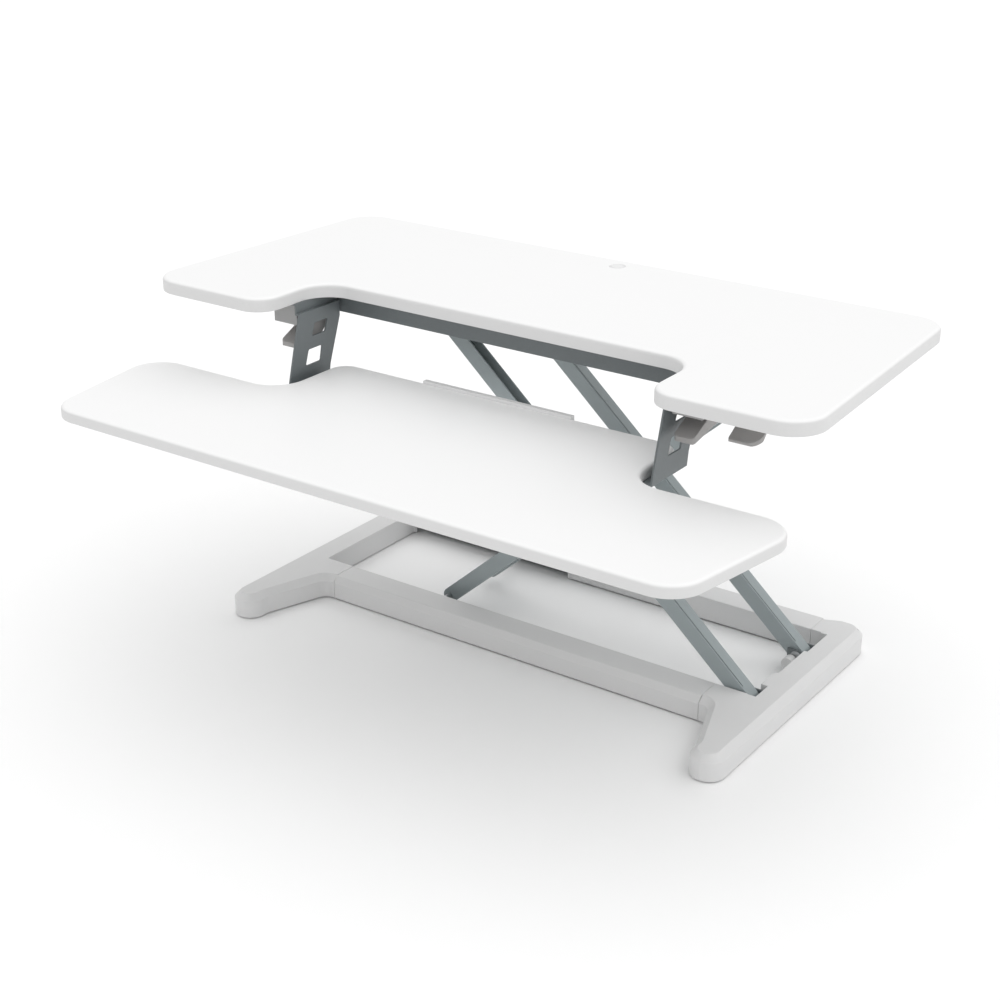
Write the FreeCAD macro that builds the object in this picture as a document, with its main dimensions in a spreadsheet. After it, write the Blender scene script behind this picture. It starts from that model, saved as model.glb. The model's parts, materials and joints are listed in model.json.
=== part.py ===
import FreeCAD, Part
import math
import os
import Sketcher

# A two-tier standing desk converter on a crossed-arm lift, drawn at its raised rest height.
# X runs left to right, Y front to back and Z up from the table; lengths are in millimetres.

doc = FreeCAD.newDocument("standing_desk_converter")
sheet = doc.addObject("Spreadsheet::Sheet", "sizes")

SIZES = [
    # worksurface
    ("desk_front_width", 955.0), ("desk_rear_width", 910.0), ("desk_depth", 424.0),
    ("desk_thickness", 18.0), ("desk_front_y", -111.5), ("desk_corner", 44.0),
    ("cutout_half_width", 277.0), ("cutout_depth", 117.0), ("cutout_corner", 42.0),
    ("board_edge", 5.5), ("grommet_radius", 11.0), ("grommet_inset", 29.0),
    # keyboard tray
    ("tray_front_width", 895.0), ("tray_rear_width", 962.0), ("tray_lobe_depth", 212.0),
    ("tray_thickness", 15.0), ("tray_drop", 93.5), ("tray_front_y", -319.5),
    ("tongue_half_width", 258.0), ("tongue_depth", 337.0), ("tray_corner", 44.0),
    ("tongue_corner", 26.0), ("tongue_bend", 42.0), ("stop_length", 226.0),
    ("stop_middle_x", -7.0), ("stop_rise", 4.0), ("stop_behind", 2.0),
    # lift geometry
    ("pivot_x", 333.0), ("slider_x", -141.0), ("low_pivot_z", 22.0), ("rise", 422.4),
    ("lift_mid_y", 149.5), ("main_arm_offset", 62.5), ("main_arm_width", 20.0),
    ("arm_gap", 4.0), ("counter_arm_width", 18.0), ("arm_depth", 21.0), ("arm_wall", 2.0),
    ("arm_seam", 1.4), ("seam_depth", 0.5), ("low_tube_share", 0.26), ("high_tube_share", 0.33),
    ("counter_tube_share", 0.93),
    ("pin_radius", 5.0), ("pin_gap", 0.05), ("bush_wall", 1.5), ("tube_radius", 8.0),
    # rollers and their tracks
    ("roller_radius", 8.0), ("roller_width", 14.0), ("roller_gap", 0.3),
    ("axle_radius", 4.0), ("track_wall", 2.5), ("low_track_start", -325.0),
    ("low_track_end", -62.0), ("low_track_depth", 24.0), ("top_rail_end", 352.0),
    ("top_rail_start", -326.0), ("top_rail_depth", 25.0), ("top_rail_gap", 8.5),
    # base
    ("cover_wall", 2.5), ("beam_depth", 43.0), ("front_beam_gap", 2.0),
    ("rear_beam_gap", 34.5), ("seam_front_x", 293.0), ("seam_rear_x", 325.0),
    ("foot_outer_x", 384.0), ("foot_inner_x", 340.0), ("foot_tip_radius", 22.5),
    ("foot_tip_y", -74.5), ("foot_rear_y", 319.5), ("seam_gap", 0.4),
    ("beam_bevel_run", 6.0), ("beam_bevel_drop", 10.0), ("foot_bevel", 9.0),
    ("pad_radius", 14.0), ("pad_height", 2.0), ("crossbar_width", 22.0),
    ("crossbar_height", 24.0), ("frame_wall", 2.0),
    ("toe_shoulder", 31.0), ("toe_length", 8.0), ("heel_width", 38.0),
    ("shoulder_round", 16.0), ("neck_round", 20.0), ("heel_round", 24.0),
    ("lug_recess", 6.0), ("middle_step", 5.0), ("bumper_radius", 8.5), ("bumper_length", 13.0),
    # under-desk frame, brackets and levers
    ("bracket_x", 272.0), ("bracket_thickness", 2.5), ("bracket_joggle", 5.5),
    ("bracket_fold_drop", 13.0), ("bracket_front_y", -50.0), ("bracket_rear_y", 29.0),
    ("window_round", 2.5), ("rail_height", 30.0), ("housing_front_y", -46.0),
    ("housing_width", 38.5), ("housing_wall", 2.0), ("lever_width", 26.5),
    ("lever_pin_radius", 2.5), ("paddle_x", 354.0),
    ("paddle_width", 38.0), ("screw_radius", 2.5), ("screw_head_radius", 4.5),
    ("pin_head_rim", 2.5), ("pin_head_depth", 1.5), ("ear_thickness", 2.5),
    ("spring_wire", 0.5), ("spring_pitch", 1.1), ("lever_drop", 29.0), ("lever_scoop", 60.0),
    ("lever_corner", 7.0), ("knuckle_radius", 6.5), ("paddle_drop", 59.0), ("paddle_reach", 43.0),
    ("paddle_scoop", 15.0), ("paddle_corner", 16.0), ("tip_round", 1.6),
    # gas spring
    ("crank_length", 40.0), ("crank_lead", 15.5), ("gas_body_radius", 11.0),
    ("gas_rod_radius", 4.5), ("gas_reach", 350.0), ("gas_eye_slack", 2.0),
    ("gas_pin_radius", 4.0), ("gas_pin_length", 21.0), ("gas_eye_width", 10.0),
]


class Length:
    """A number that also carries the spreadsheet expression it came from."""

    def __init__(self, value, text):
        self.value = float(value)
        self.text = text

    def join(self, other, sign, result, swap=False):
        other = other if isinstance(other, Length) else Length(other, repr(float(other)))
        first, second = (other, self) if swap else (self, other)
        return Length(result(first.value, second.value), f"({first.text} {sign} {second.text})")

    def __add__(self, other):
        return self.join(other, "+", lambda a, b: a + b)

    def __radd__(self, other):
        return self.join(other, "+", lambda a, b: a + b, True)

    def __sub__(self, other):
        return self.join(other, "-", lambda a, b: a - b)

    def __rsub__(self, other):
        return self.join(other, "-", lambda a, b: a - b, True)

    def __mul__(self, other):
        return self.join(other, "*", lambda a, b: a * b)

    def __rmul__(self, other):
        return self.join(other, "*", lambda a, b: a * b, True)

    def __truediv__(self, other):
        return self.join(other, "/", lambda a, b: a / b)

    def __neg__(self):
        return self * -1.0


def fillSheet():
    lengths = {}
    for row, (alias, value) in enumerate(SIZES, start=1):
        sheet.set(f"A{row}", alias)
        sheet.set(f"B{row}", str(value))
        sheet.setAlias(f"B{row}", alias)
        lengths[alias] = Length(value, f"sizes.{alias}")
    doc.recompute()
    return lengths


size = fillSheet()
pieces = {}


def asLength(value):
    return value if isinstance(value, Length) else Length(value, repr(float(value)))


def bind(item, prop, value):
    value = asLength(value)
    setattr(item, prop, value.value)
    if "sizes." in value.text:
        item.setExpression(prop, value.text)


def place(item, x, y, z, turn=None):
    """Base point from the sheet, and a fixed turn about one axis."""
    x, y, z = asLength(x), asLength(y), asLength(z)
    rotation = FreeCAD.Rotation(turn[0], turn[1]) if turn else FreeCAD.Rotation()
    item.Placement = FreeCAD.Placement(FreeCAD.Vector(x.value, y.value, z.value), rotation)
    for axis, value in zip("xyz", (x, y, z)):
        if "sizes." in value.text:
            item.setExpression(f"Placement.Base.{axis}", value.text)


XDIR = FreeCAD.Vector(1, 0, 0)
YDIR = FreeCAD.Vector(0, 1, 0)
ALONG = {"x": (YDIR, 90), "y": (XDIR, -90), "z": None}
count = [0]


def fresh(kind, stem):
    count[0] += 1
    return doc.addObject(kind, f"{stem}_{count[0]}")


def block(x0, x1, y0, y1, z0, z1):
    item = fresh("Part::Box", "block")
    bind(item, "Length", asLength(x1) - x0)
    bind(item, "Width", asLength(y1) - y0)
    bind(item, "Height", asLength(z1) - z0)
    place(item, x0, y0, z0)
    return item


def rod(axis, x, y, z, radius, length):
    """A cylinder that starts at (x, y, z) and runs along an axis."""
    item = fresh("Part::Cylinder", "rod")
    bind(item, "Radius", radius)
    bind(item, "Height", length)
    place(item, x, y, z, ALONG[axis])
    return item


def cone(axis, x, y, z, first, last, length):
    item = fresh("Part::Cone", "cone")
    bind(item, "Radius1", first)
    bind(item, "Radius2", last)
    bind(item, "Height", length)
    place(item, x, y, z, ALONG[axis])
    return item


def fuse(*items):
    items = list(items)
    if len(items) == 1:
        return items[0]
    item = fresh("Part::MultiFuse", "fuse")
    item.Shapes = items
    item.Refine = True
    return item


def cut(base, *tools):
    item = fresh("Part::Cut", "cut")
    item.Base = base
    item.Tool = fuse(*tools)
    item.Refine = True
    return item


def group(*items):
    item = fresh("Part::Compound", "group")
    item.Links = list(items)
    return item


def turned(item, angle, x, z):
    """The item drawn about the origin, turned about Y and set with its origin at (x, 0, z)."""
    holder = fresh("Part::Compound", "turned")
    holder.Links = [item]
    place(holder, x, 0.0, z, (YDIR, angle))
    return holder


def piece(name, item):
    item.Label = name
    pieces[name] = item
    return item


def originPlane(body, role):
    return [f for f in body.Origin.OriginFeatures if f.Role == role][0]


def outline(body, role, points, stem="outline"):
    """A closed sketch through the points, each held by its own pair of sheet distances."""
    sketch = body.newObject("Sketcher::SketchObject", f"{stem}_{count[0]}")
    count[0] += 1
    sketch.AttachmentSupport = [(originPlane(body, role), "")]
    sketch.MapMode = "FlatFace"
    points = [(asLength(a), asLength(b)) for a, b in points]
    corners = [FreeCAD.Vector(a.value, b.value, 0) for a, b in points]
    total = len(points)
    for i in range(total):
        sketch.addGeometry(Part.LineSegment(corners[i], corners[(i + 1) % total]), False)
    for i in range(total):
        sketch.addConstraint(Sketcher.Constraint("Coincident", i, 2, (i + 1) % total, 1))
    for i, pair in enumerate(points):
        for kind, value in zip(("DistanceX", "DistanceY"), pair):
            index = sketch.addConstraint(Sketcher.Constraint(kind, -1, 1, i, 1, value.value))
            if "sizes." in value.text:
                sketch.setExpression(f"Constraints[{index}]", value.text)
    return sketch


def newBody(name):
    return doc.addObject("PartDesign::Body", f"{name}_body")


def pad(body, sketch, length, middle=False):
    item = body.newObject("PartDesign::Pad", f"pad_{count[0]}")
    count[0] += 1
    item.Profile = sketch
    bind(item, "Length", length)
    item.Midplane = middle
    doc.recompute()
    return item


def pocket(body, sketch, length, back=False):
    item = body.newObject("PartDesign::Pocket", f"pocket_{count[0]}")
    count[0] += 1
    before = body.Shape.Volume
    item.Profile = sketch
    bind(item, "Length", length)
    item.Reversed = back
    doc.recompute()
    if body.Shape.Volume >= before - 1.0:
        raise ValueError(f"{body.Name}: a pocket cut nothing")
    return item


def edgesWhere(shape, test):
    return [f"Edge{i}" for i, edge in enumerate(shape.Edges, start=1) if test(edge)]


def edgesAlong(axis, spots, reach):
    """Picks the straight edges along an axis that pass close to the given spots, seen down it."""
    others = [name for name in "xyz" if name != axis]

    def test(edge):
        a, b = edge.Vertexes[0].Point, edge.Vertexes[-1].Point
        across = [(getattr(a, name), getattr(b, name)) for name in others]
        if any(abs(first - second) > 0.01 for first, second in across):
            return False
        return any(math.hypot(across[0][0] - u, across[1][0] - v) < reach for u, v in spots)
    return test


def dress(body, kind, test, amount):
    base = body.Tip
    names = edgesWhere(base.Shape, test)
    if not names:
        raise ValueError(f"{body.Name}: no edge to {kind.lower()}")
    item = body.newObject(f"PartDesign::{kind}", f"{kind.lower()}_{count[0]}")
    count[0] += 1
    item.Base = (base, names)
    bind(item, "Radius" if kind == "Fillet" else "Size", amount)
    body.Tip = item
    doc.recompute()
    return item


def roundCorners(body, axis, corners, reach=1.5):
    """Rounds the edges along an axis; corners is a list of (spots, radius)."""
    for spots, radius in corners:
        plain = [(asLength(u).value, asLength(v).value) for u, v in spots]
        base = body.Tip
        names = edgesWhere(base.Shape, edgesAlong(axis, plain, reach))
        if len(names) != len(plain):
            raise ValueError(f"{body.Name}: {len(names)} edges for {len(plain)} corners")
        item = body.newObject("PartDesign::Fillet", f"fillet_{count[0]}")
        count[0] += 1
        item.Base = (base, names)
        bind(item, "Radius", radius)
        body.Tip = item
        doc.recompute()


def rimAt(level, skip=None):
    """Picks every edge that lies flat at a height, less those that skip names."""
    def test(edge):
        flat = all(abs(v.Point.z - level) < 0.01 for v in edge.Vertexes)
        box = edge.BoundBox
        flat = flat and box.ZLength < 0.01
        return flat and not (skip and skip(edge))
    return test


# shared places; a tool that cuts a bore, slot or window starts 1 mm before it and ends 1 mm past it
low_z = size["low_pivot_z"]
top_z = low_z + size["rise"]
pivot_x = size["pivot_x"]
slider_x = size["slider_x"]
span = pivot_x.value - slider_x.value
arm_length = math.hypot(span, size["rise"].value)
arm_angle = math.degrees(math.atan2(size["rise"].value, span))
arm_text = "sqrt((sizes.pivot_x - sizes.slider_x) ^ 2 + sizes.rise ^ 2)"
arm_reach = Length(arm_length, arm_text)
half_depth = size["arm_depth"] / 2
centre_x = (pivot_x + slider_x) / 2
centre_z = low_z + size["rise"] / 2

mid_y = size["lift_mid_y"]
main_in = size["main_arm_offset"]
main_out = main_in + size["main_arm_width"]
counter_out = main_in - size["arm_gap"]
counter_in = counter_out - size["counter_arm_width"]

track_half = size["roller_radius"] + size["roller_gap"]
desk_low = top_z + track_half + size["track_wall"]
desk_top = desk_low + size["desk_thickness"]
rail_low = desk_low - size["rail_height"]
base_top = low_z + track_half + size["track_wall"] + size["cover_wall"]
tray_top = desk_low - size["tray_drop"]
tray_low = tray_top - size["tray_thickness"]
desk_rear_y = size["desk_front_y"] + size["desk_depth"]
cutout_y = size["desk_front_y"] + size["cutout_depth"]

front_beam_in = mid_y - main_out - size["front_beam_gap"]
front_beam_out = front_beam_in - size["beam_depth"]
rear_beam_in = mid_y + main_out + size["rear_beam_gap"]
rear_beam_out = rear_beam_in + size["beam_depth"] + 1.5
front_rail_in = mid_y - main_out - size["top_rail_gap"]
front_rail_out = front_rail_in - size["top_rail_depth"]
rear_rail_in = mid_y + main_out + size["top_rail_gap"]
rear_rail_out = rear_rail_in + size["top_rail_depth"]
track_cover_gap = 3.0
roller_side = 3.0
tube_wall = 1.6


# worksurface and tray
def worksurface():
    body = newBody("worksurface")
    front, rear = size["desk_front_y"], desk_rear_y
    half_front, half_rear = size["desk_front_width"] / 2, size["desk_rear_width"] / 2
    half_cut = size["cutout_half_width"]
    right = [(half_cut, cutout_y), (half_cut, front), (half_front, front), (half_rear, rear)]
    left = [(-x, y) for x, y in reversed(right)]
    sketch = outline(body, "XY_Plane", right + left)
    pad(body, sketch, size["desk_thickness"])
    outer = [(half_front, front), (half_rear, rear), (-half_front, front), (-half_rear, rear)]
    notch = [(half_cut, cutout_y), (-half_cut, cutout_y)]
    lobes = [(half_cut, front), (-half_cut, front)]
    roundCorners(body, "z", [(outer, size["desk_corner"]), (notch, size["cutout_corner"]),
                           (lobes, size["cutout_corner"] - 8.0)])
    dress(body, "Fillet", rimAt(size["desk_thickness"].value), size["board_edge"])
    place(body, 0.0, 0.0, desk_low)
    hole = rod("z", 0.0, desk_rear_y - size["grommet_inset"], desk_low - 1.0,
               size["grommet_radius"], size["desk_thickness"] + 2.0)
    piece("worksurface", cut(body, hole))


def grommetPlug():
    """A plug set flush in the board, with a fine ring groove in its top face."""
    y = desk_rear_y - size["grommet_inset"]
    play, lift, rim, groove_depth = 0.2, 4.0, 1.2, 0.6
    radius = size["grommet_radius"] - play
    stem = rod("z", 0.0, y, desk_low + lift, radius, size["desk_thickness"] - lift)
    groove = cut(rod("z", 0.0, y, desk_top - groove_depth, radius - rim, 2.0),
                 rod("z", 0.0, y, desk_top - 1.0, radius - 2 * rim, 3.0))
    piece("desktop_plug", cut(stem, groove))


def keyboardTray():
    body = newBody("keyboard_tray")
    front = size["tray_front_y"]
    lobe_rear = front + size["tray_lobe_depth"]
    tongue_rear = front + size["tongue_depth"]
    half_front, half_rear = size["tray_front_width"] / 2, size["tray_rear_width"] / 2
    tongue = size["tongue_half_width"]
    right = [(half_front, front), (half_rear, lobe_rear), (tongue, lobe_rear),
             (tongue, tongue_rear)]
    left = [(-x, y) for x, y in reversed(right)]
    sketch = outline(body, "XY_Plane", right + left)
    pad(body, sketch, size["tray_thickness"])
    outer = [(x * s, y) for s in (1.0, -1.0) for x, y in right[:2]]
    bends = [(x * s, y) for s in (1.0, -1.0) for x, y in right[2:3]]
    ends = [(x * s, y) for s in (1.0, -1.0) for x, y in right[3:]]
    roundCorners(body, "z", [(outer, size["tray_corner"]), (bends, size["tongue_bend"]),
                           (ends, size["tongue_corner"])])
    dress(body, "Fillet", rimAt(size["tray_thickness"].value), size["board_edge"])
    place(body, 0.0, 0.0, tray_low)
    piece("keyboard_tray", body)
    left_end = size["stop_middle_x"] - size["stop_length"] / 2
    right_end = size["stop_middle_x"] + size["stop_length"] / 2
    stop_front = tongue_rear - size["board_edge"]
    stop = block(left_end, right_end, stop_front, tongue_rear + size["stop_behind"],
                 tray_top - size["board_edge"], tray_top + size["stop_rise"])
    edge = tray_top - size["board_edge"]
    board = fuse(block(left_end, right_end, stop_front, tongue_rear, tray_low, edge),
                 rod("x", left_end, stop_front, edge, size["board_edge"], size["stop_length"]))
    piece("tray_rear_stop", cut(stop, board))


# base
def footPlan(side):
    """Plan of a foot cover from the front seam, round the toe, to the rear seam."""
    outer, inner = size["foot_outer_x"], size["foot_inner_x"]
    toe_in = outer - 2 * size["foot_tip_radius"]
    toe_y = size["foot_tip_y"] - size["foot_tip_radius"]
    seam = size["seam_front_x"] + size["seam_gap"]
    rear_seam = size["seam_rear_x"] + size["seam_gap"]
    plan = [
        (seam, front_beam_out), (toe_in - size["toe_shoulder"], front_beam_out),
        (toe_in, size["foot_tip_y"] + size["toe_length"]), (toe_in, toe_y), (outer, toe_y),
        (outer, size["foot_rear_y"]), (outer - size["heel_width"], size["foot_rear_y"]),
        (rear_seam, rear_beam_out), (rear_seam, rear_beam_in), (inner, rear_beam_in),
        (inner, front_beam_in), (seam, front_beam_in),
    ]
    return [(x * side, y) for x, y in plan]


bar_out = size["foot_outer_x"] - size["foot_bevel"]
bar_in = bar_out - size["crossbar_width"]


def footCover(name, side):
    """A hollow shell, open below, with a chamfered rim where no beam meets it."""
    body = newBody(name)
    plan = footPlan(side)
    pad(body, outline(body, "XY_Plane", plan), base_top - size["pad_height"])
    roundCorners(body, "z", [
        ([plan[1]], size["shoulder_round"]), ([plan[3], plan[4]], size["foot_tip_radius"] - 0.2),
        ([plan[2]], size["neck_round"]), ([plan[5]], size["heel_round"]),
        ([plan[6]], size["heel_round"] / 2)])
    seam_front, seam_rear = size["seam_front_x"].value + 1.0, size["seam_rear_x"].value + 1.0
    inner = size["foot_inner_x"].value + 1.0
    near_in, near_out = front_beam_out.value + 1.0, rear_beam_out.value - 1.0

    def inside(edge):
        box = edge.BoundBox
        far = max(abs(box.XMin), abs(box.XMax))
        within = box.YMin > near_in and box.YMax < near_out
        return (within and far < inner) or far < seam_front or (far < seam_rear and box.YMin > near_in)

    dress(body, "Chamfer", rimAt((base_top - size["pad_height"]).value, inside), size["foot_bevel"])
    place(body, 0.0, 0.0, size["pad_height"])
    rooms = frameRooms(side) + (trackRooms(side) if side < 0 else lugRooms(side))
    piece(name, cut(body, *rooms))


side_play = 1.0
cover_low = size["pad_height"] - 1.0
cover_roof = base_top - size["cover_wall"]
bar_gap = 1.0


def frameRooms(side):
    """Room in a cover for the crossbar and, behind each seam, for the beam's spine bar."""
    rooms = [spanBox(side, bar_in - bar_gap, bar_out + bar_gap / 2,
                     size["foot_tip_y"] + size["foot_tip_radius"], rear_beam_out - 4.0,
                     cover_low, cover_roof)]
    # the chamfer slopes over these, so they keep its width clear of the outer face
    bevel = size["foot_bevel"]
    for y0, y1 in ((front_beam_out + bevel, front_beam_in - size["cover_wall"]),
                   (rear_beam_in + size["cover_wall"], rear_beam_out - bevel)):
        rooms.append(spanBox(side, size["seam_front_x"] - 2.0, bar_in, y0, y1, cover_low, cover_roof))
    return rooms


def trackRooms(side):
    """Slots in the left cover's inner faces, level with the roller tracks."""
    wall, reach = size["cover_wall"], size["foot_inner_x"]
    return [spanBox(side, size["seam_front_x"] - 2.0, reach - 14.0, front_beam_in - wall - 1.0,
                    front_beam_in + 1.0, cover_low, low_z + track_half),
            spanBox(side, size["seam_rear_x"] - 2.0, reach - 4.0, rear_beam_in - 1.0,
                    rear_beam_in + wall + 1.0, cover_low, low_z + track_half)]


def lugRooms(side):
    """Recesses round the two lower arm pivots, and a shallow step between them."""
    start = size["foot_inner_x"] - 2.0
    reach = pivot_x + half_depth + size["lug_recess"]
    step = size["foot_inner_x"] + size["middle_step"]
    lug_side = side_play + size["ear_thickness"] + size["pin_head_depth"]
    front_lug = (front_beam_in - 1.0, mid_y - main_in + lug_side + 4.0)
    rear_lug = (mid_y + main_in - lug_side - 0.5, rear_beam_in - 2.0)
    middle = (front_lug[1] + 36.0, rear_lug[0] + 2.0)
    above = base_top + 1.0
    rooms = [spanBox(side, start, reach, *front_lug, cover_low, above),
             spanBox(side, start, step, *middle, cover_low, above),
             spanBox(side, start, reach, *rear_lug, cover_low, above)]
    rooms.append(spanBox(side, pivot_x - 24.0, reach, front_beam_in - 8.0, front_beam_in + 2.0,
                         cover_low, cover_roof))
    return rooms


def screwSpots(side):
    """Places along a crossbar where the cover is screwed to it."""
    x = (bar_out - size["crossbar_width"] / 2) * side
    return [(x, size["foot_tip_y"] + 60.0), (x, mid_y), (x, rear_beam_in - 10.0)]


def spanBox(side, x0, x1, y0, y1, z0, z1):
    """A block given by distances from the middle plane on one side."""
    if side > 0:
        return block(x0, x1, y0, y1, z0, z1)
    return block(-asLength(x1), -asLength(x0), y0, y1, z0, z1)


def beamCover(name, outer, inner, seam, side):
    """A U-shaped cover, open below; side is -1 for the front beam and +1 for the rear one."""
    body = newBody(name)
    wall = size["cover_wall"]
    low = size["pad_height"]
    run, drop = size["beam_bevel_run"], size["beam_bevel_drop"]
    plan = [
        (outer, low), (outer, base_top - drop), (outer - side * run, base_top), (inner, base_top),
        (inner, low), (inner + side * wall, low), (inner + side * wall, base_top - wall),
        (outer - side * (run + wall), base_top - wall), (outer - side * wall, base_top - drop),
        (outer - side * wall, low),
    ]
    pad(body, outline(body, "YZ_Plane", plan), 2 * seam, True)
    slot_low, slot_high = low - 1.0, low_z + track_half
    window = block(size["low_track_start"] - 4.0, size["low_track_end"] + 2.0,
                   inner - wall - 1.0, inner + wall + 1.0, slot_low, slot_high)
    piece(name, cut(body, window))


def trackChannel(x0, x1, inner, depth, level, side):
    """A C channel along X, open towards the arms, with its rolling faces round one level."""
    wall = size["track_wall"]
    low, high = level - track_half - wall, level + track_half + wall
    outer = inner + side * depth
    y0, y1 = (outer, inner) if side < 0 else (inner, outer)
    shell = block(x0, x1, y0, y1, low, high)
    in0, in1 = (outer + wall, inner + 1.0) if side < 0 else (inner - 1.0, outer - wall)
    room = block(asLength(x0) - 1.0, asLength(x1) + 1.0, in0, in1, low + wall, high - wall)
    return cut(shell, room)


def base():
    footCover("left_foot_cover", -1)
    footCover("right_foot_cover", 1)
    beamCover("front_beam_cover", front_beam_out, front_beam_in, size["seam_front_x"], -1)
    beamCover("rear_beam_cover", rear_beam_out, rear_beam_in, size["seam_rear_x"], 1)
    depth = size["low_track_depth"]
    for name, inner, side in (("front_base_track", front_beam_in - track_cover_gap, -1),
                              ("rear_base_track", rear_beam_in + track_cover_gap, 1)):
        piece(name, trackChannel(size["low_track_start"], size["low_track_end"], inner, depth,
                                 low_z, side))
    innerFrame()
    padsAndScrews()
    lowerLugs()
    trackStops()


bar_top = cover_roof - 0.2
bar_low = bar_top - size["crossbar_height"]


def hollowBar(side, x0, x1, y0, y1, z0, z1, along):
    """A folded steel bar; a crossbar runs along y as a tube, a spine along x and open below."""
    wall = size["frame_wall"]
    if along == "y":
        room = spanBox(side, x0 + wall, x1 - wall, y0 - 1.0, y1 + 1.0, z0 + wall, z1 - wall)
    else:
        room = spanBox(side, x0 - 1.0, x1 + 1.0, y0 + wall, y1 - wall, z0 - 1.0, z1 - wall)
    return cut(spanBox(side, x0, x1, y0, y1, z0, z1), room)


def innerFrame():
    """Two spine bars inside the beams, and a crossbar inside each foot."""
    spines = []
    for outer, inner, side in ((front_beam_out, front_beam_in, -1),
                               (rear_beam_out, rear_beam_in, 1)):
        near = inner + side * (track_cover_gap + size["low_track_depth"] + 1.0)
        far = outer - side * (size["cover_wall"] + size["beam_bevel_run"] + 1.5)
        y0, y1 = (far, near) if side < 0 else (near, far)
        spines.append(hollowBar(1, -bar_in, bar_in, y0, y1, size["pad_height"] + 4.0, bar_top, "x"))
    piece("base_spine_bars", group(*spines))
    y0, y1 = size["foot_tip_y"] + size["foot_tip_radius"] + 2.0, rear_beam_out - 6.0
    piece("base_crossbars", group(*[hollowBar(side, bar_in, bar_out, y0, y1, bar_low, bar_top, "y")
                                    for side in (-1, 1)]))


def padsAndScrews():
    pads = []
    screws = []
    head = 2.4
    for side in (-1, 1):
        for y in (size["foot_tip_y"] + 2.0, size["foot_rear_y"] - size["foot_tip_radius"] - 3.5):
            x = (size["foot_outer_x"] - size["foot_tip_radius"]) * side
            pads.append(cone("z", x, y, 0.0, size["pad_radius"] - 1.0, size["pad_radius"],
                             size["pad_height"]))
        for x, y in screwSpots(side):
            screws.append(fuse(rod("z", x, y, bar_low - head, size["screw_head_radius"], head),
                               rod("z", x, y, bar_low - 1.0, size["screw_radius"],
                                   size["frame_wall"] + 0.9)))
    piece("rubber_feet", group(*pads))
    piece("base_screws", group(*screws))


def cheeks(x, level, y0, y1, wall, half, bottom, top, bore):
    """Two upright ears with a foot plate, bored for a pin along Y."""
    ears = []
    for a, b in ((y0, y0 + wall), (y1 - wall, y1)):
        ears.append(block(x - half, x + half, a, b, bottom, top))
    plate = block(x - half, x + half, y0, y1, bottom, bottom + wall)
    hole = rod("y", x, y0 - 1.0, level, bore, y1 - y0 + 2.0)
    return cut(fuse(plate, *ears), hole)


def lowerLugs():
    """Two bored brackets on the right crossbar, their pins, and the rest under the rear arm."""
    ear = size["ear_thickness"]
    cap = size["pin_head_depth"]
    bottom = size["pad_height"] + 3.0
    pins = []
    for name, near, far in (("front_arm_lug", mid_y - main_out, mid_y - main_in),
                            ("rear_arm_lug", mid_y + main_in, mid_y + main_out)):
        y0, y1 = near - side_play - ear, far + side_play + ear
        piece(name, cheeks(pivot_x, low_z, y0, y1, ear, half_depth + ear, bottom, low_z + 9.0,
                           size["pin_radius"]))
        head = size["pin_radius"] + size["pin_head_rim"]
        pins.append(fuse(rod("y", pivot_x, y0, low_z, size["pin_radius"], y1 - y0),
                         rod("y", pivot_x, y1, low_z, head, cap),
                         rod("y", pivot_x, y0 - cap, low_z, head, cap)))
    piece("base_pivot_pins", group(*pins))
    x = pivot_x - 5.0
    y1 = mid_y + main_in - side_play - ear - cap - 1.0
    y0 = y1 - size["bumper_length"]
    roll = rod("y", x, y0, low_z - 6.0, size["bumper_radius"], size["bumper_length"])
    tread = block(x - 5.0, x + 5.0, y0 + 1.0, y1, bottom, low_z - 10.0)
    piece("arm_bumper", fuse(roll, tread))


def trackStops():
    """A block at each end of both lower tracks."""
    stops = []
    half, inset = 4.0, 5.0
    for x in (size["low_track_start"] + inset, size["low_track_end"] - inset):
        for inner, side in ((front_beam_in, -1), (rear_beam_in, 1)):
            near = inner + side * (track_cover_gap + 2.0)
            far = inner + side * (track_cover_gap + size["low_track_depth"] - size["track_wall"])
            y0, y1 = (far, near) if side < 0 else (near, far)
            stops.append(block(x - half, x + half, y0, y1, low_z - track_half, low_z + track_half))
    piece("track_end_stops", group(*stops))


# crossed arms
def armTube(y0, width, open_top):
    """A folded box section along -X from its fixed pivot, with round ends and a lengthwise seam."""
    wall = size["arm_wall"]
    y1 = y0 + width
    ends = [rod("y", x, y0, 0.0, half_depth, width) for x in (0.0, -arm_reach)]
    outside = fuse(block(-arm_reach, 0.0, y0, y1, -half_depth, half_depth), *ends)
    inset = half_depth + 5.0
    hollow = block(inset - arm_reach, -inset, y0 + wall, y1 - wall, wall - half_depth,
                   half_depth - wall)
    seam = block(inset - arm_reach, -inset, y0 + wall, y0 + wall + size["arm_seam"],
                 half_depth - wall - size["seam_depth"], half_depth + 1.0)
    tools = [hollow, seam]
    if open_top:
        tools.append(block(inset - arm_reach, -arm_reach * 0.6, y0 + wall, y1 - wall,
                           half_depth - wall - 0.5, half_depth + 1.0))
    return outside, tools


def boredArm(name, y0, width, bores, angle, x, z, open_top=False):
    outside, tools = armTube(y0, width, open_top)
    for place_x, radius in bores:
        tools.append(rod("y", place_x, y0 - 1.0, 0.0, radius, width + 2.0))
    return piece(name, turned(cut(outside, *tools), angle, x, z))


def sleeve(x, z, y0, length, outer, inner):
    return cut(rod("y", x, y0, z, outer, length), rod("y", x, y0 - 1.0, z, inner, length + 2.0))


bush_bore = size["pin_radius"] + size["pin_gap"]
bush_outer = bush_bore + size["bush_wall"]
main_front_y = mid_y - main_out
main_rear_y = mid_y + main_in
counter_front_y = mid_y - counter_out
counter_rear_y = mid_y + counter_in


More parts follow.
